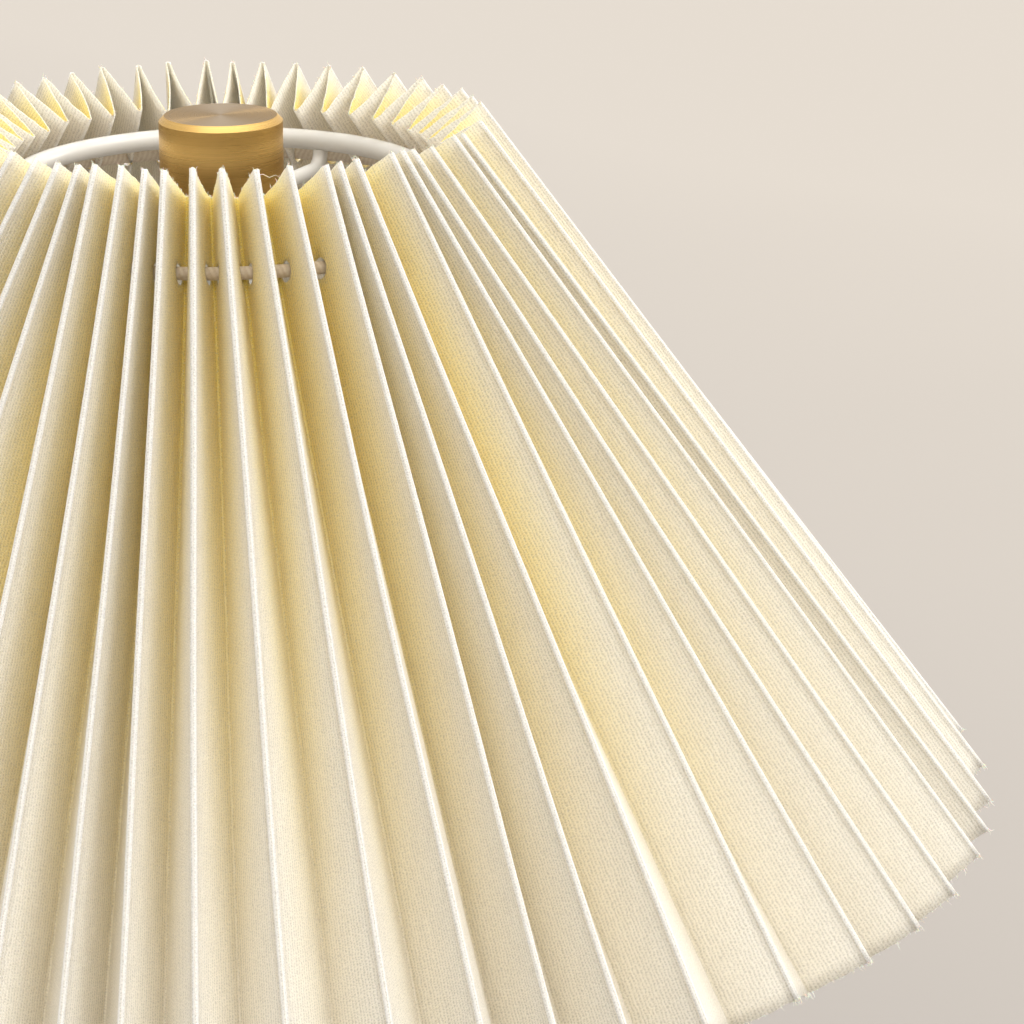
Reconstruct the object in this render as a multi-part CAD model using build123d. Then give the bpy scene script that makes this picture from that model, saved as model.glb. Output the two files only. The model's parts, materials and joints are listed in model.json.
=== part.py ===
from build123d import *
import os
from math import atan2, cos, hypot, radians, sin, sqrt

# Table lamp with a knife-pleated empire shade, millimetres, +Z up.
# The origin is the centre of the base's underside. The shade hangs on a spider that is clamped
# between a harp and a brass finial. Directions round the shade are degrees from +X towards -Y.

# Overall
LAMP_H = 420.0            # floor to the tips of the pleats

# Shade
CREST_TOP_R = 53.3        # outer folds at the top rim
CREST_BOTTOM_R = 160.0    # outer folds at the hem
CREST_H = 143.2           # height from hem tips to rim tips
PLEAT_W = 13.9            # fold to fold, measured across the fabric
FABRIC_T = 0.5            # fabric bonded to its stiff backing
MITRE_MAX = 2.4           # deepest inner corner of a tightly closed fold
RIM_START, HEM_START = -5, 3          # direction of the first crest at the rim and at the hem
# The folds were gathered by hand, so the gaps between crests are uneven on the front quarter.
RIM_GAPS = [18, 14, 4, 9, 6, 3, 3, 9, 4, 3, 8, 7, 7, 6, 6, 4, 5, 6, 4, 5, 6, 7]
RIM_GAPS_BACK = [9, 8, 8, 9, 7, 9, 6, 7, 8, 8, 9, 9, 9, 8, 9, 7, 8]
HEM_GAPS = [7, 6, 5, 7, 7, 7, 8, 8, 6, 5, 5, 6, 7, 6, 5, 4, 5, 5]
PLEATS = 49

# Spider and gather cord, heights below the rim tips
RING_R, RING_WIRE_R, RING_DROP = 42.0, 2.1, 14.3
ARM_WIRE_R, ARM_DROP = 1.6, 20.1
ARM_DIRECTIONS = [60, 180, 300]
HUB_R, HUB_T = 14.5, 1.6
HUB_TOP = LAMP_H - 19.3
CORD_LOOP_R, CORD_R, CORD_DROP = 54.2, 1.3, 20.2
HOLE_LOOP_R, CORD_HOLE_R = 55.6, 2.8

# Finial and harp
FINIAL_R, FINIAL_TOP_DROP, FINIAL_CHAMFER = 12.55, 0.8, 1.15
STUD_R, STUD_TOP = 3.1, LAMP_H - 8.5
THREAD_GAP = 0.1
WASHER_R, WASHER_T = 9.0, 0.75
BLOCK_R, BLOCK_H = 6.5, 8.0
HARP_WIRE_R, HARP_FOOT_X, HARP_WIDE_X = 1.6, 30.0, 50.0
LEG_STRAIGHT = 22.0
FERRULE_R, FERRULE_BORE_R, FERRULE_H, FERRULE_LIP = 3.9, 2.8, 14.0, 1.6
SLIDE_GAP = 0.06

# Stand
PIPE_R, PIPE_BORE_R = 4.9, 3.5
PIPE_HOLE_R = 5.2
FELT_T, FELT_R = 2.0, 73.0
BASE_R, BASE_WALL = 75.0, 1.5
BASE_SIDE_TOP, BASE_TOP = 15.0, 25.0
SHOULDER_R = 6.0
BASE_LAND_R = 14.0
NUT_FLATS, NUT_T = 14.0, 3.0
INLET_Z, INLET_BORE_R = 8.8, 3.25
STEM_R, STEM_BORE_R = 7.0, 5.5
SADDLE_Z, SADDLE_T, SADDLE_W, TAB_W = 282.0, 1.6, 14.0, 5.0
TAB_TOP = SADDLE_Z + 18.0

# Socket, switch and bulb
SHELL_R, SHELL_T = 18.5, 0.8
SOCKET_TOP = SADDLE_Z + 52.0
SWITCH_Z = SADDLE_Z + 24.5
SHAFT_R = 2.0
KNOB_R, KNOB_H, KNOB_FLUTES = 7.5, 12.0, 16
E27_R = 13.2
GLOBE_R = 22.5


def turned(points, smooth=()):
    """Solid of revolution about Z from (radius, height) points; smooth lists (corner, radius)."""
    face = make_face(Polyline(*points, close=True))
    for corner, radius in smooth:
        vertex = face.vertices().sort_by_distance((*points[corner], 0))[0]
        face = fillet(vertex, radius)
    return revolve(Plane.XZ * face, axis=Axis.Z)


def disc(radius, low, high):
    return Pos(0, 0, (low + high) / 2) * Cylinder(radius, high - low)


def ring(outer, inner, low, high):
    return disc(outer, low, high) - disc(inner, low - 1, high + 1)


def hex_nut(flats, low, high):
    hexagon = RegularPolygon(flats / 2, 6, major_radius=False)
    return extrude(Pos(0, 0, low) * hexagon, high - low) - disc(PIPE_HOLE_R, low - 1, high + 1)


def wire(points, radii, radius):
    """Round wire along straight runs with a tangent arc at each corner."""
    path = FilletPolyline(*points, radius=radii)
    return sweep(Plane(path @ 0, z_dir=path % 0) * Circle(radius), path=path)


# ---- shade ----

def crest_directions(start, front_gaps, back_gaps=()):
    """Crests with the given gaps on both sides of an evenly gathered stretch."""
    even_count = PLEATS - len(front_gaps) - len(back_gaps)
    even = (360 - sum(front_gaps) - sum(back_gaps)) / even_count
    gaps = [*front_gaps, *[even] * even_count, *back_gaps]
    return [start + sum(gaps[:i]) for i in range(PLEATS)]


def around(radius, direction, height):
    angle = radians(direction)
    return Vector(radius * cos(angle), -radius * sin(angle), height)


def fold_loop(radius, height, directions):
    """Outer and inner corner of every fold, crest and valley in turn, along one cut edge."""
    slope = atan2(CREST_BOTTOM_R - CREST_TOP_R, CREST_H)
    outer, inner = [], []
    for here, after in zip(directions, directions[1:] + [directions[0] + 360]):
        half_gap = radians(after - here) / 2
        depth = sqrt(PLEAT_W ** 2 - (radius * sin(half_gap)) ** 2)
        valley_r = radius - depth * cos(slope)
        mitre = min(MITRE_MAX, FABRIC_T * hypot(depth, radius * half_gap) / (radius * half_gap))
        valley_z = height - depth * sin(slope)
        middle = (here + after) / 2
        outer += [around(radius, here, height), around(valley_r, middle, valley_z)]
        inner += [around(radius - mitre, here, height), around(valley_r - mitre, middle, valley_z)]
    return outer, inner


def skin(edge_a, edge_b, facing=1):
    """Two triangles for each fold-to-fold strip between two closed loops of corners."""
    faces = []
    for i in range(len(edge_a)):
        j = (i + 1) % len(edge_a)
        for corners in ([edge_a[i], edge_a[j], edge_b[j]], [edge_a[i], edge_b[j], edge_b[i]]):
            faces.append(Face(Wire.make_polygon(corners[::facing])))
    return faces


def shade_pleats():
    rim_out, rim_in = fold_loop(
        CREST_TOP_R, LAMP_H, crest_directions(RIM_START, RIM_GAPS, RIM_GAPS_BACK))
    hem_out, hem_in = fold_loop(
        CREST_BOTTOM_R, LAMP_H - CREST_H, crest_directions(HEM_START, HEM_GAPS))
    faces = skin(rim_out, hem_out) + skin(rim_in, hem_in, facing=-1)
    faces += skin(rim_in, rim_out) + skin(hem_out, hem_in)
    cord_holes = Pos(0, 0, LAMP_H - CORD_DROP) * Torus(HOLE_LOOP_R, CORD_HOLE_R)
    return Solid(Shell(faces)) - cord_holes


def top_ring():
    return Pos(0, 0, LAMP_H - RING_DROP) * Torus(RING_R, RING_WIRE_R)


def spider_arm(direction):
    """Drops from the ring, then runs in to the hub's edge, welded at both ends."""
    ring_z, arm_z = LAMP_H - RING_DROP, LAMP_H - ARM_DROP
    points = [(RING_R, 0, ring_z - RING_WIRE_R + 0.4), (RING_R, 0, arm_z), (HUB_R - 0.6, 0, arm_z)]
    return Rot(0, 0, -direction) * wire(points, 3.5, ARM_WIRE_R)


def spider_hub():
    return ring(HUB_R, STUD_R + THREAD_GAP, HUB_TOP - HUB_T, HUB_TOP)


def gather_cord():
    """Threaded through the fabric just outside the valley folds."""
    return Pos(0, 0, LAMP_H - CORD_DROP) * Torus(CORD_LOOP_R, CORD_R)


def finial():
    low, high = HUB_TOP + 0.05, LAMP_H - FINIAL_TOP_DROP
    body = turned([(0, low), (FINIAL_R - 0.4, low), (FINIAL_R, low + 0.4),
                   (FINIAL_R, high - FINIAL_CHAMFER), (FINIAL_R - FINIAL_CHAMFER, high), (0, high)])
    return body - disc(STUD_R + THREAD_GAP, low - 1, STUD_TOP + 1)


# ---- harp ----

def spider_washer():
    top = HUB_TOP - HUB_T
    return ring(WASHER_R, STUD_R + THREAD_GAP, top - WASHER_T, top)


def harp_seat_z():
    return HUB_TOP - HUB_T - WASHER_T


def harp_wire():
    foot, head = TAB_TOP + 0.1, harp_seat_z() - BLOCK_H / 2
    right = [(HARP_FOOT_X, 0, foot), (HARP_FOOT_X, 0, foot + LEG_STRAIGHT + 4),
             (HARP_WIDE_X, 0, foot + 44), (HARP_WIDE_X, 0, foot + 66), (26, 0, head)]
    left = [(-x, y, z) for x, y, z in reversed(right)]
    return wire(right + left, [8, 16, 16, 18, 18, 16, 16, 8], HARP_WIRE_R)


def harp_stud():
    top = harp_seat_z()
    block = disc(BLOCK_R, top - BLOCK_H, top) + disc(STUD_R, top, STUD_TOP)
    wire_hole = Pos(0, 0, top - BLOCK_H / 2) * Rot(0, 90, 0) * Cylinder(HARP_WIRE_R, 3 * BLOCK_R)
    return block - wire_hole


def ferrule(side):
    """Locking sleeve over the saddle's tab and the harp's foot, with a lip that grips the wire."""
    low = TAB_TOP - 7
    top = low + FERRULE_H
    sleeve = turned([(FERRULE_BORE_R, low), (FERRULE_R + 0.5, low), (FERRULE_R + 0.5, low + 1.5),
                     (FERRULE_R, low + 2), (FERRULE_R, top - 1), (FERRULE_R - 1, top),
                     (HARP_WIRE_R + SLIDE_GAP, top), (HARP_WIRE_R + SLIDE_GAP, top - FERRULE_LIP),
                     (FERRULE_BORE_R, top - FERRULE_LIP)])
    return Pos(side * HARP_FOOT_X, 0, 0) * sleeve


def harp_saddle():
    """U-shaped steel strip whose upturned ends narrow to the tabs that the harp stands on."""
    out_x, in_x = HARP_FOOT_X + SADDLE_T / 2, HARP_FOOT_X - SADDLE_T / 2
    floor_z = SADDLE_Z + SADDLE_T
    outline = [(-out_x, TAB_TOP), (-out_x, SADDLE_Z), (out_x, SADDLE_Z), (out_x, TAB_TOP),
               (in_x, TAB_TOP), (in_x, floor_z), (-in_x, floor_z), (-in_x, TAB_TOP)]
    face = make_face(Polyline(*outline, close=True))
    for corner, radius in ((1, 4.6), (2, 4.6), (5, 3.0), (6, 3.0)):
        vertex = face.vertices().sort_by_distance((*outline[corner], 0))[0]
        face = fillet(vertex, radius)
    strip = extrude(Plane.XZ * face, SADDLE_W / 2, both=True)
    shoulder = SADDLE_Z + 8
    for side in (-1, 1):
        beside_tab = Box(3 * out_x, SADDLE_W, 2 * (TAB_TOP - shoulder))
        strip -= Pos(0, side * (TAB_W + SADDLE_W) / 2, TAB_TOP) * beside_tab
    return strip - disc(PIPE_HOLE_R, SADDLE_Z - 1, floor_z + 1)


# ---- stand ----

def felt_pad():
    return ring(FELT_R, BASE_LAND_R, 0, FELT_T)


def base_outline(inset):
    """Section of the base below its spun brass skin, moved in by inset."""
    radius, side_top, top = BASE_R - inset, BASE_SIDE_TOP + SHOULDER_R - inset, BASE_TOP - inset
    return [(0, FELT_T), (radius, FELT_T), (radius, side_top), (BASE_LAND_R, top), (0, top)]


def inlet_hole(radius):
    return Pos(0, BASE_R, INLET_Z) * Rot(90, 0, 0) * Cylinder(radius, 30)


def base_cover():
    outside = turned(base_outline(0), [(2, SHOULDER_R)])
    inside = turned(base_outline(BASE_WALL), [(2, SHOULDER_R - BASE_WALL)])
    return outside - inside - disc(PIPE_HOLE_R, 0, BASE_TOP + 1) - inlet_hole(4.5)


def base_weight():
    """Iron disc that fills the cover, with a well for the nut and a channel for the cord."""
    body = turned(base_outline(BASE_WALL + 0.3), [(2, SHOULDER_R - BASE_WALL)])
    well = disc(13.0, 0, FELT_T + 8)
    channel = Pos(0, BASE_R / 2, FELT_T) * Box(14, BASE_R, 26)
    return body - disc(PIPE_HOLE_R, 0, BASE_TOP) - well - channel


def base_washer():
    return ring(11.5, PIPE_HOLE_R, FELT_T + 6.4, FELT_T + 8)


def base_nut():
    return hex_nut(NUT_FLATS, FELT_T + 6.4 - NUT_T, FELT_T + 6.4)


def cord_grommet():
    """Rubber bushing in the back of the base that the mains cord comes out of."""
    flange, neck = 6.0, 4.4
    outer_y, wall_y = BASE_R + 1.6, BASE_R - BASE_WALL - 0.3
    bushing = turned([(INLET_BORE_R, -outer_y), (flange - 0.6, -outer_y), (flange, -outer_y + 0.6),
                      (flange, -BASE_R), (neck, -BASE_R), (neck, -wall_y), (flange, -wall_y),
                      (flange, -wall_y + 1.4), (INLET_BORE_R, -wall_y + 1.4)])
    return Pos(0, 0, INLET_Z) * Rot(90, 0, 0) * bushing


def threaded_pipe():
    return ring(PIPE_R, PIPE_BORE_R, FELT_T + 1, SADDLE_Z + 10)


def stem_collar():
    """Turned brass foot that seats the stem tube on the base."""
    low, high = BASE_TOP, BASE_TOP + 10
    return turned([(PIPE_HOLE_R, low), (13, low), (13, low + 3), (11.5, low + 4), (11.5, low + 5),
                   (12.2, low + 6), (9.5, high), (STEM_R + 0.1, high), (STEM_R + 0.1, high - 5),
                   (PIPE_HOLE_R, high - 5)])


def stem_tube():
    return ring(STEM_R, STEM_BORE_R, BASE_TOP + 5, SADDLE_Z - 6)


def stem_cap():
    """Turned brass neck that closes the stem tube under the saddle."""
    low, high = SADDLE_Z - 12, SADDLE_Z
    return turned([(STEM_R + 0.1, low), (8.6, low), (8.6, low + 6), (11, high - 3), (11, high),
                   (PIPE_HOLE_R, high), (PIPE_HOLE_R, high - 6), (STEM_R + 0.1, high - 6)])


def saddle_locknut():
    low = SADDLE_Z + SADDLE_T
    return hex_nut(NUT_FLATS, low, low + NUT_T)


# ---- socket and switch ----

CAP_LOW = SADDLE_Z + SADDLE_T + NUT_T
CAP_R = SHELL_R - SHELL_T - 0.2
BODY_LOW, BODY_HIGH = SADDLE_Z + 20.0, SADDLE_Z + 29.0


def socket_cap():
    cup = turned([(0, CAP_LOW), (9, CAP_LOW), (CAP_R, CAP_LOW + 7), (CAP_R, CAP_LOW + 14),
                  (0, CAP_LOW + 14)], [(2, 4)])
    hollow = turned([(0, CAP_LOW + 1), (8.6, CAP_LOW + 1), (CAP_R - 1, CAP_LOW + 7.6),
                     (CAP_R - 1, CAP_LOW + 15), (0, CAP_LOW + 15)], [(2, 3)])
    return cup - hollow - disc(PIPE_HOLE_R, CAP_LOW - 1, CAP_LOW + 2)


def switch_axis_hole(radius):
    return Pos(0, -20, SWITCH_Z) * Rot(90, 0, 0) * Cylinder(radius, 36)


def socket_shell():
    """Brass shell that snaps over the cap, with a beaded mouth."""
    low, bead = CAP_LOW + 12, SOCKET_TOP - 6
    inner = SHELL_R - SHELL_T
    return turned([(inner, low), (SHELL_R, low), (SHELL_R, bead), (SHELL_R + 0.7, bead + 1.2),
                   (SHELL_R, bead + 2.4), (SHELL_R, SOCKET_TOP), (inner, SOCKET_TOP)],
                  [(3, 1.0)]) - switch_axis_hole(4.1)


def socket_liner():
    return ring(CAP_R, CAP_R - 0.6, BODY_LOW, SOCKET_TOP - 1) - switch_axis_hole(4.1)


def socket_body():
    """Moulded insulator that carries the screw shell, the contact and the switch."""
    body = disc(CAP_R - 0.8, BODY_LOW, BODY_HIGH) - switch_axis_hole(SHAFT_R + SLIDE_GAP)
    for x in (-9, 9):
        body -= Pos(x, 0, BODY_LOW) * Cylinder(1.45, 8)
    body -= Pos(0, -20, SWITCH_Z) * Rot(90, 0, 0) * Cylinder(4.1, 11)
    return body


def screw_shell():
    outer, low = E27_R + 0.7, BODY_HIGH
    return turned([(6, low), (outer, low), (outer, SOCKET_TOP - 1), (outer + 0.8, SOCKET_TOP - 0.5),
                   (outer - 0.4, SOCKET_TOP - 0.5), (outer - 0.4, low + 0.5), (6, low + 0.5)])


def centre_contact():
    """Bent brass leaf riveted to the insulator, with its free end under the bulb's tip."""
    leaf = Pos(-1, 0, BODY_HIGH + 1.5) * Box(7, 3.6, 0.5)
    riser = Pos(-4.25, 0, BODY_HIGH + 0.875) * Box(0.5, 3.6, 1.75)
    return leaf + riser


def terminal_screws():
    screws = []
    for x in (-9, 9):
        head = Pos(x, 0, 0) * disc(2.6, BODY_LOW - 1.9, BODY_LOW)
        slot = Pos(x, 0, BODY_LOW - 1.9) * Box(6, 0.7, 1.6)
        screws.append(head - slot + Pos(x, 0, 0) * disc(1.4, BODY_LOW, BODY_LOW + 3.8))
    return Compound(children=screws)


def along_switch(outline):
    """Turned piece on the switch's axis, which points out of the socket towards -Y."""
    return Pos(0, 0, SWITCH_Z) * Rot(90, 0, 0) * turned(outline)


def switch_bushing():
    bore = SHAFT_R + SLIDE_GAP
    return along_switch([(bore, 15.5), (3.9, 15.5), (3.9, 19.2), (5.4, 19.2), (5.4, 21.0),
                         (3.9, 21.0), (3.9, 25), (bore, 25)])


def switch_shaft():
    return along_switch([(0, 8), (SHAFT_R, 8), (SHAFT_R, 38), (0, 38)])


def switch_knob():
    low = 27.0
    knob = along_switch([(SHAFT_R, low), (KNOB_R - 1, low), (KNOB_R, low + 1),
                         (KNOB_R - 0.7, low + KNOB_H - 1.5), (KNOB_R - 2, low + KNOB_H),
                         (0, low + KNOB_H), (0, 38), (SHAFT_R, 38)])
    for i in range(KNOB_FLUTES):
        flute = Rot(0, 0, i * 360 / KNOB_FLUTES) * Pos(KNOB_R + 0.35, 0, low + KNOB_H / 2)
        knob -= Pos(0, 0, SWITCH_Z) * Rot(90, 0, 0) * flute * Cylinder(0.8, KNOB_H + 2)
    return knob


# ---- bulb ----

TIP_Z = BODY_HIGH + 1.8
BASE_LOW, BASE_HIGH = TIP_Z + 4.0, SOCKET_TOP + 1.5
GLOBE_Z = SOCKET_TOP + 29.0
HOUSING_TOP = GLOBE_Z - 8.0


def bulb_tip():
    return turned([(0, TIP_Z), (3.2, TIP_Z), (4.5, TIP_Z + 1.2), (0, TIP_Z + 1.2)])


def bulb_insulator():
    return turned([(0, TIP_Z + 1.2), (4.5, TIP_Z + 1.2), (11, BASE_LOW), (0, BASE_LOW)])


def bulb_screw_base():
    return turned([(0, BASE_LOW), (11, BASE_LOW), (E27_R, BASE_LOW + 2), (E27_R, BASE_HIGH),
                   (E27_R - 0.6, BASE_HIGH), (E27_R - 0.6, BASE_LOW + 2.4), (0, BASE_LOW + 0.6)])


def globe_r_at(height):
    return sqrt(GLOBE_R ** 2 - (height - GLOBE_Z) ** 2)


def bulb_housing():
    """White plastic cone between the screw base and the diffuser."""
    top_r = globe_r_at(HOUSING_TOP)
    neck = E27_R - 0.7
    return turned([(neck - 1.4, BASE_LOW + 8), (neck, BASE_LOW + 8), (neck, BASE_HIGH),
                   (E27_R + 0.6, BASE_HIGH), (E27_R + 1.2, BASE_HIGH + 3), (top_r, HOUSING_TOP),
                   (top_r - 1.5, HOUSING_TOP), (E27_R - 0.4, BASE_HIGH + 3)])


def led_board():
    return disc(globe_r_at(HOUSING_TOP) - 2.6, HOUSING_TOP - 1.4, HOUSING_TOP - 0.2)


def bulb_diffuser():
    """Opal dome, a globe with its lower cap cut off where it meets the housing."""
    globe = Pos(0, 0, GLOBE_Z) * (Sphere(GLOBE_R) - Sphere(GLOBE_R - 1))
    return globe - disc(2 * GLOBE_R, GLOBE_Z - 2 * GLOBE_R, HOUSING_TOP)


def parts():
    """Every sub-part by name."""
    made = {
        "shade_pleats": shade_pleats(), "top_ring": top_ring(), "spider_hub": spider_hub(),
        "gather_cord": gather_cord(), "finial": finial(), "spider_washer": spider_washer(),
        "harp_wire": harp_wire(), "harp_stud": harp_stud(), "harp_saddle": harp_saddle(),
        "left_ferrule": ferrule(-1), "right_ferrule": ferrule(1),
        "felt_pad": felt_pad(), "base_cover": base_cover(), "base_weight": base_weight(),
        "base_washer": base_washer(), "base_nut": base_nut(), "cord_grommet": cord_grommet(),
        "threaded_pipe": threaded_pipe(), "stem_collar": stem_collar(), "stem_tube": stem_tube(),
        "stem_cap": stem_cap(), "saddle_locknut": saddle_locknut(), "socket_cap": socket_cap(),
        "socket_shell": socket_shell(), "socket_liner": socket_liner(),
        "socket_body": socket_body(), "screw_shell": screw_shell(),
        "centre_contact": centre_contact(), "terminal_screws": terminal_screws(),
        "switch_bushing": switch_bushing(), "switch_shaft": switch_shaft(),
        "switch_knob": switch_knob(), "bulb_tip": bulb_tip(), "bulb_insulator": bulb_insulator(),
        "bulb_screw_base": bulb_screw_base(), "bulb_housing": bulb_housing(),
        "led_board": led_board(), "bulb_diffuser": bulb_diffuser(),
    }
    for number, direction in enumerate(ARM_DIRECTIONS, start=1):
        made[f"spider_arm_{number}"] = spider_arm(direction)
    return made


os.makedirs("parts", exist_ok=True)
for name, shape in parts().items():
    export_step(shape, f"parts/{name}.step")
    print(name, round(shape.volume, 1))
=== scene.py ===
import json
import random
from math import atan2, cos, hypot, pi, radians, sin, sqrt, tau

import bpy
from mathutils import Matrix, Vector


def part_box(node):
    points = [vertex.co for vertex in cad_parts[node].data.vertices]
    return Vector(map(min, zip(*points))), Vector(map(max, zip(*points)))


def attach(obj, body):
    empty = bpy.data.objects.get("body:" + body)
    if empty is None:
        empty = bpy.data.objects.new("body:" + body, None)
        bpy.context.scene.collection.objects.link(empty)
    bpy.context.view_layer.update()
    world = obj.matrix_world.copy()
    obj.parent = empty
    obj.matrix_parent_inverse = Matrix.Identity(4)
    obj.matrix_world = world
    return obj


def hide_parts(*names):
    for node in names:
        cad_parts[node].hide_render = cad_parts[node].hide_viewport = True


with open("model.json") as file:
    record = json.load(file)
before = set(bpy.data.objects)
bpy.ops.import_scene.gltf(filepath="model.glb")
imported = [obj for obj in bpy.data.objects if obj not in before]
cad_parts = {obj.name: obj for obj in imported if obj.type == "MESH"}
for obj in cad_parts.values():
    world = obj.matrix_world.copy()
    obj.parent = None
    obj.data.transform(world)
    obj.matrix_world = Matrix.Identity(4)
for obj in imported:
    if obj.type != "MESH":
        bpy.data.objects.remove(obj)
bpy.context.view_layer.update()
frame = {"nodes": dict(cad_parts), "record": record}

# Table lamp with a knife-pleated shade. The CAD frame holds every hard part; this script makes the
# fabric, its frayed edges and the cord's knot, and the materials, light and camera.
# Directions round the shade are degrees from +X towards -Y, as in the part's source.

MM = 0.001
LAMP_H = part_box("shade_pleats")[1][2]

# The shade's folds and the gather cord, as in the part's source
CREST_TOP_R, CREST_BOTTOM_R, CREST_H = 53.3 * MM, 160 * MM, 143.2 * MM
PLEAT_W = 13.9 * MM
PLEATS = 49
RIM_START, HEM_START = -5, 3
RIM_GAPS = [18, 14, 4, 9, 6, 3, 3, 9, 4, 3, 8, 7, 7, 6, 6, 4, 5, 6, 4, 5, 6, 7]
RIM_GAPS_BACK = [9, 8, 8, 9, 7, 9, 6, 7, 8, 8, 9, 9, 9, 8, 9, 7, 8]
HEM_GAPS = [7, 6, 5, 7, 7, 7, 8, 8, 6, 5, 5, 6, 7, 6, 5, 4, 5, 5]
CORD_LOOP_R, CORD_R, CORD_DROP = 54.2 * MM, 1.3 * MM, 20.2 * MM
SLOPE = atan2(CREST_BOTTOM_R - CREST_TOP_R, CREST_H)
SLANT = hypot(CREST_BOTTOM_R - CREST_TOP_R, CREST_H)

# Thinner cloth and smaller cord holes than in the part's source
FABRIC_T = 0.3 * MM
HOLE_LOOP_R, CORD_HOLE_R = 54.8 * MM, 2.1 * MM
PUNCH_SEGMENTS, PUNCH_SIDES = 180, 28

# Rounded folds, and how finely the strip is divided
NOSE_R, VALLEY_NOSE_R = 0.62 * MM, 0.35 * MM
NOSE_SPREAD, VALLEY_SPREAD = 112, 75          # degrees to each side of a fold's tip
NOSE_STEPS = 9
FACE_COLUMNS = 8
ROWS = 60

# Hand-made unevenness: least and most in millimetres, and how far the folds sway
BOW_MM = (-0.25, 0.45)
PLEAT_LIFT_MM = (-0.5, 0.3)
CUT_EDGE_MM = (-0.22, 0.08)
SWAY = 0.22 * MM

# Weave, in the UV map's millimetres
RIB_PITCH, THREAD_PITCH = 0.7, 0.56

# Loose thread ends, and one long stray thread that hangs off a crest at the rim
HEM_FIBRES, HEM_FIBRE_REACH = 3600, 1.3 * MM
RIM_FIBRES, RIM_FIBRE_REACH = 1400, 0.9 * MM
STRAY_CREST = 12
STRAY_THREAD_R = 0.08 * MM

# Cord: strands round the loop, and how steeply they climb over it in radians per metre
CORD_STRANDS, CORD_CLIMB = 300.0, 2600.0
KNOT_STRAND_R = 0.7 * MM

# Camera: metres in front of the shade's axis and above the rim, then degrees down and to the right
CAMERA_BACK, CAMERA_RISE = 0.7636, 0.1581
CAMERA_DOWN, CAMERA_ASIDE = 17.71, 4.42
LENS_MM, SENSOR_MM = 134.7, 36
FLOOR_SIZE, FLOOR_MIDDLE_Y = 12.0, -0.8


# ---- node helpers ----

def new_material(name):
    material = bpy.data.materials.new(name)
    material.use_nodes = True
    tree = material.node_tree
    return material, tree, tree.nodes["Principled BSDF"]


def node(tree, kind, **values):
    made = tree.nodes.new(kind)
    for key, value in values.items():
        if key in made.inputs:
            made.inputs[key].default_value = value
        else:
            setattr(made, key, value)
    return made


def math(tree, operation, a, b=None, c=None):
    made = node(tree, "ShaderNodeMath", operation=operation)
    for index, value in enumerate((a, b, c)):
        if value is None:
            continue
        if isinstance(value, (int, float)):
            made.inputs[index].default_value = value
        else:
            tree.links.new(value, made.inputs[index])
    return made.outputs[0]


def mix(tree, factor, a, b, blend="MIX"):
    """Mixes colours; inputs 0, 6 and 7 are the node's factor and its two colours."""
    made = node(tree, "ShaderNodeMix", data_type="RGBA", blend_type=blend)
    for socket, value in ((0, factor), (6, a), (7, b)):
        if isinstance(value, (int, float)):
            made.inputs[socket].default_value = value
        elif isinstance(value, tuple):
            made.inputs[socket].default_value = (*value, 1)
        else:
            tree.links.new(value, made.inputs[socket])
    return made.outputs[2]


def ramp(tree, factor, stops):
    made = node(tree, "ShaderNodeValToRGB")
    while len(made.color_ramp.elements) < len(stops):
        made.color_ramp.elements.new(0.5)
    for element, (position, colour) in zip(made.color_ramp.elements, stops):
        element.position = position
        element.color = (*colour, 1) if isinstance(colour, tuple) else (colour, colour, colour, 1)
    tree.links.new(factor, made.inputs[0])
    return made.outputs[0]


def position(tree, scale=(1, 1, 1)):
    """Object coordinates in metres times scale. Every CAD node's object sits at the origin."""
    coordinates = node(tree, "ShaderNodeTexCoord").outputs["Object"]
    mapping = node(tree, "ShaderNodeMapping", Scale=scale)
    tree.links.new(coordinates, mapping.inputs["Vector"])
    return mapping.outputs[0]


def noise(tree, vector, scale, detail=3.0, roughness=0.5):
    made = node(tree, "ShaderNodeTexNoise", Scale=scale, Detail=detail, Roughness=roughness)
    tree.links.new(vector, made.inputs["Vector"])
    return made.outputs["Fac"]


def bump(tree, bsdf, height, distance, strength):
    made = node(tree, "ShaderNodeBump", Distance=distance, Strength=strength)
    tree.links.new(height, made.inputs["Height"])
    tree.links.new(made.outputs[0], bsdf.inputs["Normal"])


def link(tree, bsdf, **sockets):
    """Feeds the shader's sockets; a _ in a keyword stands for a space in the socket's name."""
    for name, output in sockets.items():
        tree.links.new(output, bsdf.inputs[name.replace("_", " ")])


# ---- materials ----

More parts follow.
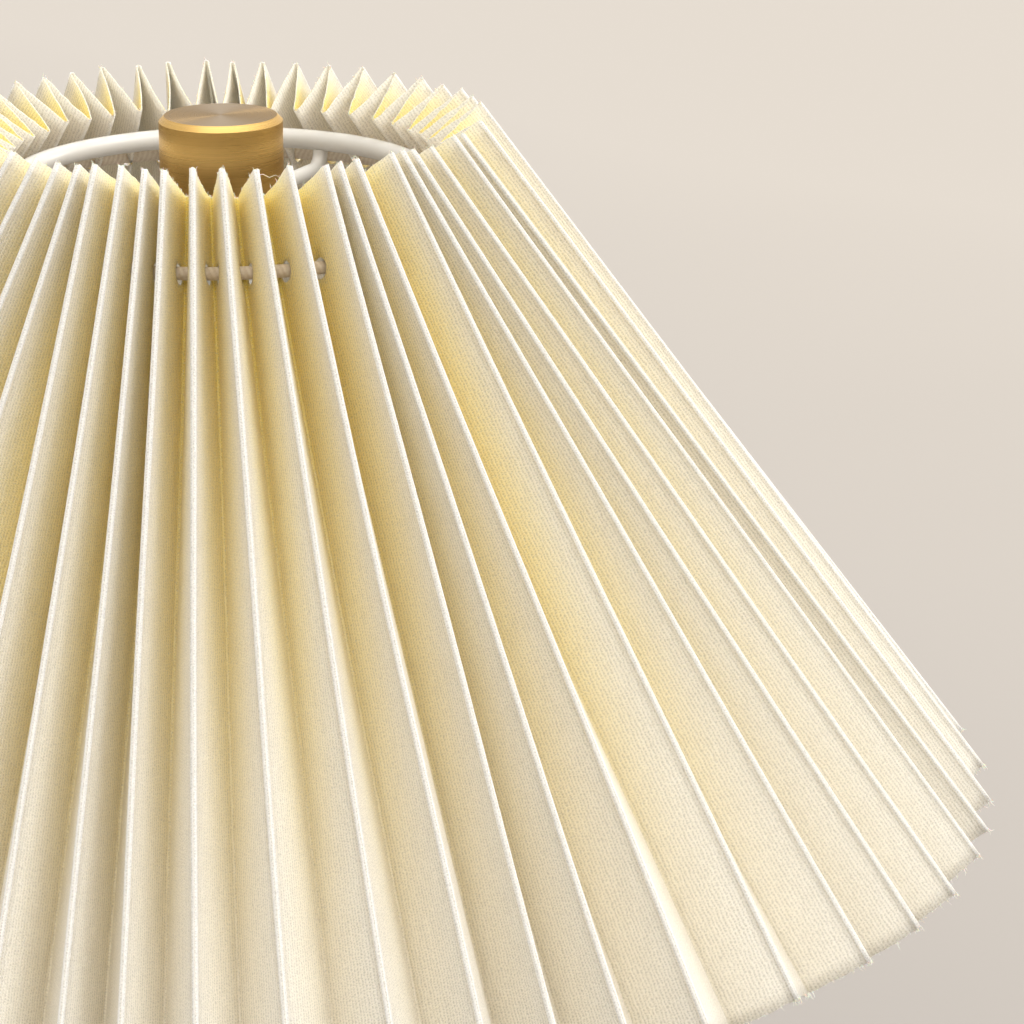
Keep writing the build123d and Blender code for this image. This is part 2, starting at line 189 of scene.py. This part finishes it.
def fabric_material():
    """Fine ribbed fabric: ribs along the folds, threads across them, silky and a little translucent.

    The ochre of the valleys, strongest near the rim, is a painted glow of light passing through and between
    the folds; it is weaker on the inner side, which is mixed towards pale cream. The pale bands along the
    crests are painted highlight, and deep valleys near the hem get painted shade.
    The UV map holds millimetres: u across the strip, v along the folds. The attribute fold is 0 on a
    crest and 1 in a valley, rise is 0 at the rim and 1 at the hem, ridge is 0 on a crest's pressed
    line and 1 over the faces, and inner is 1 on the side towards the bulb.
    """
    material, tree, bsdf = new_material("pleated_fabric")
    uv = node(tree, "ShaderNodeUVMap", uv_map="strip")
    split = node(tree, "ShaderNodeSeparateXYZ")
    tree.links.new(uv.outputs[0], split.inputs[0])
    u, v = split.outputs[0], split.outputs[1]
    fold = node(tree, "ShaderNodeAttribute", attribute_name="fold").outputs["Fac"]
    rise = node(tree, "ShaderNodeAttribute", attribute_name="rise").outputs["Fac"]
    ridge = node(tree, "ShaderNodeAttribute", attribute_name="ridge").outputs["Fac"]

    across = math(tree, "MULTIPLY_ADD", noise(tree, uv.outputs[0], 0.55, 3, 0.6), 0.9, u)
    along = math(tree, "MULTIPLY_ADD", noise(tree, uv.outputs[0], 0.8, 3, 0.6), 1.6, v)
    rib = math(tree, "SINE", math(tree, "MULTIPLY", across, tau / RIB_PITCH))
    every_other = math(tree, "MULTIPLY", math(tree, "FLOOR", math(tree, "DIVIDE", across, RIB_PITCH)), pi)
    thread = math(tree, "SINE", math(tree, "MULTIPLY_ADD", along, tau / THREAD_PITCH, every_other))
    stretch = node(tree, "ShaderNodeMapping", Scale=(1.0, 0.12, 1.0))
    tree.links.new(uv.outputs[0], stretch.inputs["Vector"])
    slub = noise(tree, stretch.outputs[0], 1.1, 4, 0.6)
    grain = noise(tree, uv.outputs[0], 1.9, 2, 0.8)
    weave = math(tree, "MULTIPLY_ADD", rib, 0.16, math(tree, "MULTIPLY_ADD", thread, 0.14, grain))
    height = math(tree, "MULTIPLY_ADD", slub, 0.7, math(tree, "MULTIPLY", weave, 1.6))

    inner = node(tree, "ShaderNodeAttribute", attribute_name="inner").outputs["Fac"]
    # Painted glow: ochre that grows with depth into a valley, strongest near the rim, weaker on the inner
    # side.
    from_ridge = math(tree, "ABSOLUTE", math(tree, "SUBTRACT", fold, inner))
    painted_glow_strength = math(tree, "MULTIPLY_ADD", inner, -0.6, math(tree, "MULTIPLY_ADD", rise, -0.92, 1.0))
    painted_glow_at_rim = math(tree, "MULTIPLY_ADD", rise, -0.14, 0.14)
    painted_glow_depth = math(tree, "MULTIPLY_ADD", math(tree, "POWER", from_ridge, 0.85), painted_glow_strength, painted_glow_at_rim)
    face = ramp(tree, painted_glow_depth, [
        (0.0, (0.965, 0.915, 0.815)),
        (0.2, (0.98, 0.90, 0.74)),
        (0.5, (0.99, 0.855, 0.54)),
        (1.0, (0.99, 0.77, 0.27))])
    # Painted highlight: near-white bands beside each crest's darker pressed line.
    crest = ramp(tree, ridge, [
        (0.0, (0.86, 0.82, 0.74)),
        (0.14, (0.995, 0.985, 0.95)),
        (0.8, (0.995, 0.985, 0.95)),
        (1.0, (0.985, 0.93, 0.82))])
    rough_edge = math(tree, "MULTIPLY_ADD", math(tree, "SUBTRACT", grain, 0.5), 0.9, ridge)
    on_face = ramp(tree, math(tree, "MAXIMUM", rough_edge, inner), [(0.72, 0.0), (0.95, 1.0)])
    pale = mix(tree, math(tree, "MULTIPLY", inner, 0.8), face, (0.98, 0.95, 0.87))
    cream = mix(tree, on_face, crest, pale)
    mottle = ramp(tree, slub, [(0.3, 0.93), (0.7, 1.0)])
    threads = ramp(tree, weave, [(0.22, 0.74), (0.58, 1.0)])
    # Painted shade: deep valleys get up to 18 percent darker towards the hem.
    shade = math(tree, "MULTIPLY_ADD", math(tree, "MULTIPLY", fold, rise), -0.18, 1.0)
    tinted = mix(tree, 1.0, cream, math(tree, "MULTIPLY", mottle, shade), "MULTIPLY")
    colour = mix(tree, 1.0, tinted, threads, "MULTIPLY")
    link(tree, bsdf, Base_Color=colour)
    bump(tree, bsdf, height, 0.12 * MM, 0.8)
    bsdf.inputs["Roughness"].default_value = 0.62
    bsdf.inputs["Specular IOR Level"].default_value = 0.35
    bsdf.inputs["Sheen Weight"].default_value = 0.25
    bsdf.inputs["Sheen Roughness"].default_value = 0.35
    bsdf.inputs["Subsurface Weight"].default_value = 0.85
    bsdf.inputs["Subsurface Radius"].default_value = (1.0, 0.96, 0.88)
    bsdf.inputs["Subsurface Scale"].default_value = 1.0 * MM
    return material


def turned_metal(name, colour, dark, ring_scale, roughness):
    """Lathe-turned metal: fine rings round Z on the side and concentric lines on the faces.

    Faces that look up or down get painted shade, darker than the side.
    """
    material, tree, bsdf = new_material(name)
    split = node(tree, "ShaderNodeSeparateXYZ")
    tree.links.new(position(tree), split.inputs[0])
    radius = math(tree, "SQRT", math(tree, "ADD", math(tree, "POWER", split.outputs[0], 2),
                                     math(tree, "POWER", split.outputs[1], 2)))
    join = node(tree, "ShaderNodeCombineXYZ")
    tree.links.new(math(tree, "MULTIPLY", radius, ring_scale), join.inputs[0])
    tree.links.new(math(tree, "MULTIPLY", split.outputs[2], ring_scale), join.inputs[1])
    rings = noise(tree, join.outputs[0], 1.0, 5, 0.65)
    blotch = noise(tree, position(tree), 70, 3)
    tone = math(tree, "MULTIPLY_ADD", rings, 0.7, math(tree, "MULTIPLY", blotch, 0.3))
    side_colour = ramp(tree, tone, [(0.15, dark), (0.7, colour)])
    facing = node(tree, "ShaderNodeSeparateXYZ")
    tree.links.new(node(tree, "ShaderNodeNewGeometry").outputs["Normal"], facing.inputs[0])
    # Painted shade: faces that look up or down are darkened.
    painted_shade_up_down = ramp(tree, math(tree, "ABSOLUTE", facing.outputs[2]), [(0.75, 0.0), (0.95, 1.0)])
    link(tree, bsdf, Base_Color=mix(tree, painted_shade_up_down, side_colour, (0.48, 0.47, 0.52), "MULTIPLY"))
    rough = math(tree, "MULTIPLY_ADD", rings, 0.18, math(tree, "MULTIPLY_ADD", blotch, 0.08, roughness))
    link(tree, bsdf, Roughness=rough)
    bump(tree, bsdf, rings, 0.015 * MM, 0.5)
    bsdf.inputs["Metallic"].default_value = 1.0
    bsdf.inputs["Anisotropic"].default_value = 0.85
    tangent = node(tree, "ShaderNodeTangent", direction_type="RADIAL", axis="Z")
    tree.links.new(tangent.outputs[0], bsdf.inputs["Tangent"])
    return material


def plain_metal(name, colour, dark, roughness):
    """Drawn or plated metal with fine scratches and faint blotches."""
    material, tree, bsdf = new_material(name)
    scratches = noise(tree, position(tree, (2500, 2500, 220)), 1.0, 4, 0.6)
    blotch = noise(tree, position(tree), 160, 4)
    link(tree, bsdf, Base_Color=ramp(tree, blotch, [(0.3, dark), (0.7, colour)]))
    link(tree, bsdf, Roughness=math(tree, "MULTIPLY_ADD", scratches, 0.25, roughness))
    bump(tree, bsdf, scratches, 0.01 * MM, 0.4)
    bsdf.inputs["Metallic"].default_value = 1.0
    return material


def coated(name, colour, dark, roughness, grain_scale, grain_mm, coat=0.0):
    """Paint, enamel, moulded plastic or rubber with a fine surface grain and slight soiling."""
    material, tree, bsdf = new_material(name)
    place = position(tree)
    grain = noise(tree, place, grain_scale, 3, 0.55)
    soil = noise(tree, place, 45, 4, 0.6)
    link(tree, bsdf, Base_Color=ramp(tree, soil, [(0.3, dark), (0.62, colour)]))
    link(tree, bsdf, Roughness=math(tree, "MULTIPLY_ADD", grain, 0.18, roughness))
    bump(tree, bsdf, grain, grain_mm * MM, 0.5)
    bsdf.inputs["Coat Weight"].default_value = coat
    bsdf.inputs["Coat Roughness"].default_value = 0.15
    return material


def felt_material():
    material, tree, bsdf = new_material("felt")
    fibres = noise(tree, position(tree), 1400, 6, 0.75)
    clumps = noise(tree, position(tree), 160, 3)
    tone = math(tree, "MULTIPLY_ADD", fibres, 0.7, math(tree, "MULTIPLY", clumps, 0.3))
    link(tree, bsdf, Base_Color=ramp(tree, tone, [(0.3, (0.03, 0.05, 0.035)), (0.7, (0.09, 0.14, 0.10))]))
    bump(tree, bsdf, fibres, 0.3 * MM, 0.8)
    bsdf.inputs["Roughness"].default_value = 0.95
    bsdf.inputs["Sheen Weight"].default_value = 0.5
    return material


def cord_material():
    """Twisted cotton cord: strands wind round the loop's own direction."""
    material, tree, bsdf = new_material("cotton_cord")
    split = node(tree, "ShaderNodeSeparateXYZ")
    tree.links.new(position(tree), split.inputs[0])
    turn = math(tree, "ARCTAN2", split.outputs[1], split.outputs[0])
    lift = math(tree, "SUBTRACT", split.outputs[2], LAMP_H - CORD_DROP)
    climb = math(tree, "MULTIPLY", lift, CORD_CLIMB)
    strand = math(tree, "SINE", math(tree, "MULTIPLY_ADD", turn, CORD_STRANDS, climb))
    fuzz = noise(tree, position(tree), 2200, 4, 0.7)
    tone = math(tree, "MULTIPLY_ADD", strand, 0.15, fuzz)
    link(tree, bsdf, Base_Color=ramp(tree, tone, [(0.2, (0.66, 0.56, 0.44)), (0.8, (0.84, 0.76, 0.64))]))
    bump(tree, bsdf, tone, 0.12 * MM, 0.6)
    bsdf.inputs["Roughness"].default_value = 0.85
    bsdf.inputs["Sheen Weight"].default_value = 0.3
    return material


def opal_material():
    material, tree, bsdf = new_material("opal_diffuser")
    haze = noise(tree, position(tree), 90, 3)
    link(tree, bsdf, Base_Color=ramp(tree, haze, [(0.3, (0.91, 0.90, 0.87)), (0.7, (0.93, 0.92, 0.89))]))
    link(tree, bsdf, Roughness=math(tree, "MULTIPLY_ADD", haze, 0.04, 0.28))
    bump(tree, bsdf, noise(tree, position(tree), 900, 3), 0.01 * MM, 0.4)
    bsdf.inputs["Subsurface Weight"].default_value = 0.6
    bsdf.inputs["Subsurface Radius"].default_value = (1.0, 0.95, 0.85)
    bsdf.inputs["Subsurface Scale"].default_value = 2 * MM
    return material


def fibre_material():
    material, tree, bsdf = new_material("fibre_liner")
    fibres = noise(tree, position(tree, (1, 1, 0.2)), 900, 6, 0.7)
    link(tree, bsdf, Base_Color=ramp(tree, fibres, [(0.3, (0.24, 0.15, 0.08)), (0.7, (0.42, 0.30, 0.18))]))
    bump(tree, bsdf, fibres, 0.1 * MM, 0.6)
    bsdf.inputs["Roughness"].default_value = 0.9
    return material


def dress_cad_nodes():
    """One finished material for each of the record's material slots."""
    brass = turned_metal("brushed_brass", (0.82, 0.54, 0.20), (0.56, 0.35, 0.10), 4000, 0.16)
    spun = turned_metal("spun_brass", (0.82, 0.58, 0.26), (0.68, 0.47, 0.20), 2600, 0.18)
    materials = {
        "brushed_brass": brass,
        "spun_brass": spun,
        "white_enamel": coated("white_enamel", (0.76, 0.755, 0.735), (0.68, 0.67, 0.64), 0.3, 700, 0.03, 0.4),
        "cotton_cord": cord_material(),
        "zinc_steel": plain_metal("zinc_steel", (0.66, 0.65, 0.62), (0.48, 0.47, 0.43), 0.3),
        "cast_iron": coated("cast_iron", (0.05, 0.05, 0.05), (0.03, 0.028, 0.026), 0.55, 500, 0.4),
        "felt": felt_material(),
        "black_rubber": coated("black_rubber", (0.035, 0.035, 0.035), (0.02, 0.02, 0.02), 0.6, 1500, 0.05),
        "phenolic": coated("phenolic", (0.05, 0.03, 0.022), (0.03, 0.018, 0.014), 0.3, 900, 0.02, 0.3),
        "knob_black": coated("knob_black", (0.03, 0.03, 0.03), (0.018, 0.018, 0.018), 0.4, 1300, 0.03),
        "fibre_liner": fibre_material(),
        "screw_shell_metal": plain_metal("screw_shell_metal", (0.82, 0.82, 0.83), (0.6, 0.6, 0.6), 0.25),
        "nickel_brass": plain_metal("nickel_brass", (0.72, 0.69, 0.62), (0.55, 0.51, 0.42), 0.22),
        "black_glass": coated(
            "black_glass", (0.02, 0.02, 0.025), (0.012, 0.012, 0.015), 0.08, 400, 0.01, 0.5),
        "solder": plain_metal("solder", (0.66, 0.66, 0.66), (0.45, 0.45, 0.45), 0.3),
        "white_plastic": coated("white_plastic", (0.85, 0.85, 0.83), (0.76, 0.75, 0.71), 0.32, 1100, 0.02),
        "board_white": coated("board_white", (0.80, 0.81, 0.78), (0.66, 0.68, 0.63), 0.45, 1200, 0.02),
        "opal": opal_material(),
    }
    for part in frame["record"]["subparts"]:
        if part["material_slot"] in materials:
            mesh = frame["nodes"][part["node"]].data
            mesh.materials.clear()
            mesh.materials.append(materials[part["material_slot"]])


# ---- pleated fabric ----

def crest_directions(start, front_gaps, back_gaps=()):
    """Crests with the given gaps on both sides of an evenly gathered stretch."""
    even_count = PLEATS - len(front_gaps) - len(back_gaps)
    even = (360 - sum(front_gaps) - sum(back_gaps)) / even_count
    gaps = [*front_gaps, *[even] * even_count, *back_gaps]
    return [start + sum(gaps[:i]) for i in range(PLEATS)]


def around(radius, direction, height):
    """A point at a direction round the lamp's axis."""
    angle = radians(direction)
    return Vector((radius * cos(angle), -radius * sin(angle), height))


def fold_points(radius, height, directions):
    """Crest and valley corners along one cut edge, as pairs."""
    pairs = []
    for here, after in zip(directions, directions[1:] + [directions[0] + 360]):
        half_gap = radians(after - here) / 2
        depth = sqrt(PLEAT_W ** 2 - (radius * sin(half_gap)) ** 2)
        valley = around(radius - depth * cos(SLOPE), (here + after) / 2, height - depth * sin(SLOPE))
        pairs.append((around(radius, here, height), valley))
    return pairs


def rounded_corner(before, corner, after, radius, spread):
    """Points of a small round nose at a fold, kept at the fold's own tip. Past 90 degrees it pinches."""
    into = (before - corner).normalized()
    out = (after - corner).normalized()
    inward = (into + out).normalized()
    side = (out - into).normalized()
    centre = corner + inward * radius
    points = []
    for k in range(NOSE_STEPS):
        angle = radians(spread) * (2 * k / (NOSE_STEPS - 1) - 1)
        points.append(centre - inward * (radius * cos(angle)) + side * (radius * sin(angle)))
    return points


def cross_section(corners, bows):
    """Closed run of points through crest and valley corners, with round noses and bowed faces.

    Each point's marks are fold, from 0 on a crest to 1 in a valley, and ridge, which is 0 on a
    crest's pressed line, 1 at the foot of its nose and over the faces.
    """
    count = len(corners)
    noses = []
    for i, corner in enumerate(corners):
        size = (NOSE_R, NOSE_SPREAD) if i % 2 == 0 else (VALLEY_NOSE_R, VALLEY_SPREAD)
        noses.append(rounded_corner(corners[i - 1], corner, corners[(i + 1) % count], *size))
    points, marks = [], []
    for i, nose in enumerate(noses):
        crest = i % 2 == 0
        for k, point in enumerate(nose):
            from_tip = abs(2 * k / (NOSE_STEPS - 1) - 1)
            points.append(point)
            marks.append((0.0, from_tip) if crest else (1.0, 1.0))
        start, end = nose[-1], noses[(i + 1) % count][0]
        across = end - start
        normal = Vector((across.y, -across.x, 0)).normalized()
        for k in range(1, FACE_COLUMNS):
            t = k / FACE_COLUMNS
            points.append(start + across * t + normal * (bows[i] * sin(pi * t)))
            marks.append((t if crest else 1 - t, 1.0))
    return points, marks


def fabric_rows():
    """The strip's rows from rim to hem, with slight hand-made unevenness in every fold."""
    rim = fold_points(CREST_TOP_R, LAMP_H, crest_directions(RIM_START, RIM_GAPS, RIM_GAPS_BACK))
    hem = fold_points(CREST_BOTTOM_R, LAMP_H - CREST_H, crest_directions(HEM_START, HEM_GAPS))
    draw = random.Random(7)
    bows = [draw.uniform(*BOW_MM) * MM for _ in range(2 * PLEATS)]
    phases = [draw.uniform(0, tau) for _ in range(2 * PLEATS)]
    lifts = [draw.uniform(*PLEAT_LIFT_MM) * MM for _ in range(PLEATS)]
    rows, marks = [], []
    for row in range(ROWS + 1):
        t = row / ROWS
        corners = []
        for i, (top, foot) in enumerate(zip(rim, hem)):
            for k in range(2):
                point = top[k].lerp(foot[k], t)
                sway = SWAY * sin(5 * t + phases[2 * i + k]) * sin(pi * t)
                along = Vector((-point.y, point.x, 0)).normalized()
                corners.append(point + along * sway + Vector((0, 0, lifts[i])))
        points, marks = cross_section(corners, [b * (1 + t) for b in bows])
        rows.append(points)
    for edge, inside in ((rows[0], rows[1]), (rows[-1], rows[-2])):
        for point, below in zip(edge, inside):
            point += (point - below).normalized() * (draw.uniform(*CUT_EDGE_MM) * MM)
    return rows, marks


def make_fabric():
    """The strip as one surface, closed into a ring, with its UV map and marks on every face corner."""
    rows, marks = fabric_rows()
    width = len(rows[0])
    across = [0.0]
    middle = rows[ROWS // 2]
    for i in range(width):
        across.append(across[-1] + (middle[(i + 1) % width] - middle[i]).length / MM)
    mesh = bpy.data.meshes.new("pleated_fabric")
    vertices = [point for row in rows for point in row]
    faces = []
    for row in range(ROWS):
        for i in range(width):
            j = (i + 1) % width
            faces.append((row * width + i, row * width + j, (row + 1) * width + j, (row + 1) * width + i))
    mesh.from_pydata(vertices, [], faces)
    mesh.uv_layers.new(name="strip")
    for name in ("fold", "ridge", "rise"):
        mesh.attributes.new(name, "FLOAT", "CORNER")
    strip = mesh.uv_layers["strip"].data
    fold, ridge, rise = (mesh.attributes[name].data for name in ("fold", "ridge", "rise"))
    corner = 0
    for row in range(ROWS):
        for i in range(width):
            for step, down in ((0, 0), (1, 0), (1, 1), (0, 1)):
                strip[corner].uv = (across[i + step], (row + down) / ROWS * SLANT / MM)
                fold[corner].value, ridge[corner].value = marks[(i + step) % width]
                rise[corner].value = (row + down) / ROWS
                corner += 1
    for polygon in mesh.polygons:
        polygon.use_smooth = True
    fabric = bpy.data.objects.new("pleated_fabric", mesh)
    bpy.context.collection.objects.link(fabric)
    mesh.materials.append(fabric_material())
    return fabric


def apply_modifiers(piece):
    depsgraph = bpy.context.evaluated_depsgraph_get()
    evaluated = piece.evaluated_get(depsgraph)
    mesh = bpy.data.meshes.new_from_object(evaluated, preserve_all_data_layers=True, depsgraph=depsgraph)
    piece.modifiers.clear()
    piece.data = mesh


def thicken(fabric):
    """Gives the strip its thickness inward and marks the new side as inner."""
    solid = fabric.modifiers.new("thickness", "SOLIDIFY")
    solid.thickness = FABRIC_T
    solid.offset = -1
    outer_count = len(fabric.data.vertices)
    apply_modifiers(fabric)
    inner = fabric.data.attributes.new("inner", "FLOAT", "CORNER")
    for loop in fabric.data.loops:
        inner.data[loop.index].value = float(loop.vertex_index >= outer_count)


def punch_cord_holes(fabric):
    """The holes near the valley folds that the gather cord passes through.

    The punch carries the fabric's marks too, so the walls it cuts are coloured like the cloth there, painted
    glow included.
    """
    bpy.ops.mesh.primitive_torus_add(major_radius=HOLE_LOOP_R, minor_radius=CORD_HOLE_R,
                                     major_segments=PUNCH_SEGMENTS, minor_segments=PUNCH_SIDES,
                                     location=(0, 0, LAMP_H - CORD_DROP))
    punch = bpy.context.object
    for name, value in (("fold", 0.8), ("ridge", 1.0), ("rise", 0.15), ("inner", 0.0)):
        layer = punch.data.attributes.new(name, "FLOAT", "CORNER")
        layer.data.foreach_set("value", [value] * len(punch.data.loops))
    cut = fabric.modifiers.new("holes", "BOOLEAN")
    cut.operation = "DIFFERENCE"
    cut.solver = "EXACT"
    cut.object = punch
    apply_modifiers(fabric)
    bpy.data.objects.remove(punch)


def fibre(vertices, faces, points, radius):
    """Adds a three-sided thread through points, thinner at its end, to vertices and faces."""
    first = len(vertices)
    for index, point in enumerate(points):
        thin = radius * (1 - 0.6 * index / (len(points) - 1))
        ahead = (points[min(index + 1, len(points) - 1)] - points[max(index - 1, 0)]).normalized()
        side = ahead.orthogonal().normalized()
        other = ahead.cross(side)
        for corner in range(3):
            angle = tau * corner / 3
            vertices.append(point + side * (thin * cos(angle)) + other * (thin * sin(angle)))
    for ring in range(len(points) - 1):
        for corner in range(3):
            a, b = first + 3 * ring + corner, first + 3 * ring + (corner + 1) % 3
            faces.append((a, b, b + 3, a + 3))
    faces.append((first + 2, first + 1, first))
    last = first + 3 * (len(points) - 1)
    faces.append((last, last + 1, last + 2))


def edge_fibres(vertices, faces, edge, inside, count, reach, draw):
    """Loose thread ends along one cut edge; inside is the row of points next to the edge."""
    for _ in range(count):
        i = draw.randrange(len(edge))
        root = edge[i].lerp(edge[(i + 1) % len(edge)], draw.random())
        out = (edge[i] - inside[i]).normalized()
        stray = Vector((draw.uniform(-1, 1), draw.uniform(-1, 1), draw.uniform(-1, 1)))
        length = reach * draw.uniform(0.2, 1.0) ** 2
        start = root - out * 0.15 * MM + stray * 0.08 * MM
        middle = root + (out + 0.5 * stray) * (0.5 * length)
        tip = middle + (out * 0.6 + stray).normalized() * (0.5 * length)
        fibre(vertices, faces, [start, middle, tip], draw.uniform(0.05, 0.1) * MM)


def make_frayed_edges():
    """Loose thread ends on both cut edges, and the stray thread."""
    rows, _ = fabric_rows()
    draw = random.Random(23)
    vertices, faces = [], []
    edge_fibres(vertices, faces, rows[-1], rows[-2], HEM_FIBRES, HEM_FIBRE_REACH, draw)
    edge_fibres(vertices, faces, rows[0], rows[1], RIM_FIBRES, RIM_FIBRE_REACH, draw)
    points_per_fold = NOSE_STEPS + FACE_COLUMNS - 1
    tip = rows[0][2 * STRAY_CREST * points_per_fold + NOSE_STEPS // 2]
    bends = [(0.2, 0, -1.2), (1.2, -0.4, -0.9), (2.4, -0.6, -1.5),
             (3.6, -0.4, -1.1), (4.4, 0.1, -1.7), (4.9, 0.2, -1.2)]
    fibre(vertices, faces, [tip + Vector(bend) * MM for bend in bends], STRAY_THREAD_R)
    mesh = bpy.data.meshes.new("frayed_edges")
    mesh.from_pydata(vertices, [], faces)
    frayed = bpy.data.objects.new("frayed_edges", mesh)
    bpy.context.collection.objects.link(frayed)
    material, tree, bsdf = new_material("loose_threads")
    link(tree, bsdf, Base_Color=ramp(tree, noise(tree, position(tree), 300, 2),
                                     [(0.3, (0.88, 0.83, 0.70)), (0.7, (0.95, 0.92, 0.84))]))
    bsdf.inputs["Roughness"].default_value = 0.7
    bsdf.inputs["Subsurface Weight"].default_value = 0.5
    bsdf.inputs["Subsurface Scale"].default_value = 0.3 * MM
    mesh.materials.append(material)
    return frayed


def make_cord_knot():
    """Knot with two short tails, at the back of the gather cord's loop."""
    curve = bpy.data.curves.new("cord_knot", "CURVE")
    curve.dimensions = "3D"
    curve.bevel_depth = KNOT_STRAND_R
    curve.bevel_resolution = 3
    curve.use_fill_caps = True
    turns = [(-0.6, 0.5, -5.5), (-1.3, 0.9, -2.6), (-1.5, 0.2, 0.4), (0.2, -1.2, 1.6), (1.6, 0.2, 0.6),
             (0.6, 1.5, -0.8), (-1.2, 0.7, -0.2), (-0.9, -1.1, 1.2), (0.9, -0.9, 0.8), (1.3, 0.9, -1.4),
             (0.9, 1.3, -3.6), (1.1, 0.9, -6.4)]
    spline = curve.splines.new("NURBS")
    spline.points.add(len(turns) - 1)
    home = Vector((0, CORD_LOOP_R + 2 * CORD_R, LAMP_H - CORD_DROP))
    for point, (x, y, z) in zip(spline.points, turns):
        point.co = (*(home + Vector((x, y, z)) * MM), 1)
    spline.order_u = 4
    spline.use_endpoint_u = True
    knot = bpy.data.objects.new("cord_knot", curve)
    bpy.context.collection.objects.link(knot)
    curve.materials.append(bpy.data.materials["cotton_cord"])
    return knot


# ---- stage ----

def studio():
    """Pale floor with painted shade, darker near the lamp and towards -X, and a soft warm world that dims
    towards -Y.
    """
    bpy.ops.mesh.primitive_plane_add(size=FLOOR_SIZE, location=(0, FLOOR_MIDDLE_Y, 0))
    floor = bpy.context.object
    floor.name = "floor"
    material, tree, bsdf = new_material("pale_floor")
    cloud = noise(tree, position(tree), 0.8, 3)
    place = node(tree, "ShaderNodeSeparateXYZ")
    tree.links.new(position(tree), place.inputs[0])
    # Painted shade: the floor gets darker close to the lamp in Y and towards -X.
    uneven = math(tree, "MULTIPLY_ADD", cloud, 0.25, -0.12)
    aside = math(tree, "MULTIPLY_ADD", place.outputs[0], 0.35, uneven)
    away = math(tree, "MULTIPLY_ADD", math(tree, "ABSOLUTE", place.outputs[1]), 0.32, aside)
    link(tree, bsdf, Base_Color=ramp(tree, away, [
        (0.18, (0.25, 0.233, 0.222)),
        (0.48, (0.365, 0.345, 0.335)),
        (0.95, (0.485, 0.46, 0.44))]))
    bsdf.inputs["Roughness"].default_value = 0.9
    floor.data.materials.append(material)

    world = bpy.data.worlds.new("studio")
    bpy.context.scene.world = world
    world.use_nodes = True
    tree = world.node_tree
    split = node(tree, "ShaderNodeSeparateXYZ")
    tree.links.new(node(tree, "ShaderNodeTexCoord").outputs["Generated"], split.inputs[0])
    front = math(tree, "MULTIPLY", split.outputs[1], -1.0)
    sky = ramp(tree, front, [
        (0.0, (1.0, 0.955, 0.88)),
        (0.72, (1.0, 0.95, 0.86)),
        (0.95, (0.78, 0.73, 0.66))])
    tree.links.new(sky, tree.nodes["Background"].inputs["Color"])
    tree.nodes["Background"].inputs["Strength"].default_value = 0.95


def sun(name, direction, elevation, strength, softness, colour):
    """Distant soft light. All angles are in degrees, and direction runs from +X towards -Y."""
    data = bpy.data.lights.new(name, "SUN")
    data.energy = strength
    data.angle = radians(softness)
    data.color = colour
    light = bpy.data.objects.new(name, data)
    away = around(cos(radians(elevation)), direction, sin(radians(elevation)))
    light.rotation_euler = away.to_track_quat("Z", "Y").to_euler()
    bpy.context.collection.objects.link(light)


def area_light(name, location, target, size, power):
    data = bpy.data.lights.new(name, "AREA")
    data.shape = "SQUARE"
    data.size = size
    data.energy = power
    light = bpy.data.objects.new(name, data)
    light.location = location
    light.rotation_euler = (Vector(target) - Vector(location)).to_track_quat("-Z", "Y").to_euler()
    bpy.context.collection.objects.link(light)


def lights():
    sun("key", direction=15, elevation=45, strength=1.3, softness=35, colour=(1.0, 0.97, 0.92))
    sun("fill", direction=100, elevation=66, strength=0.9, softness=60, colour=(1.0, 0.94, 0.84))
    sun("window", direction=-70, elevation=50, strength=0.35, softness=8, colour=(1.0, 0.98, 0.95))
    area_light("strip", location=(1.0, 0.5, 0.75), target=(0, 0, 0.41), size=0.35, power=2.0)


def camera():
    """Seen from the front and a little above, with the shade's axis left of the middle."""
    data = bpy.data.cameras.new("camera")
    data.sensor_width = SENSOR_MM
    data.lens = LENS_MM
    view = bpy.data.objects.new("camera", data)
    view.location = (0, -CAMERA_BACK, LAMP_H + CAMERA_RISE)
    view.rotation_euler = (radians(90 - CAMERA_DOWN), 0, radians(-CAMERA_ASIDE))
    bpy.context.collection.objects.link(view)
    bpy.context.scene.camera = view


dress_cad_nodes()
fabric = make_fabric()
thicken(fabric)
punch_cord_holes(fabric)
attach(fabric, "shade")
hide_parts("shade_pleats")
frayed = make_frayed_edges()
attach(frayed, "shade")
knot = make_cord_knot()
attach(knot, "shade")
studio()
lights()
camera()
bpy.context.scene.view_settings.view_transform = "Standard"
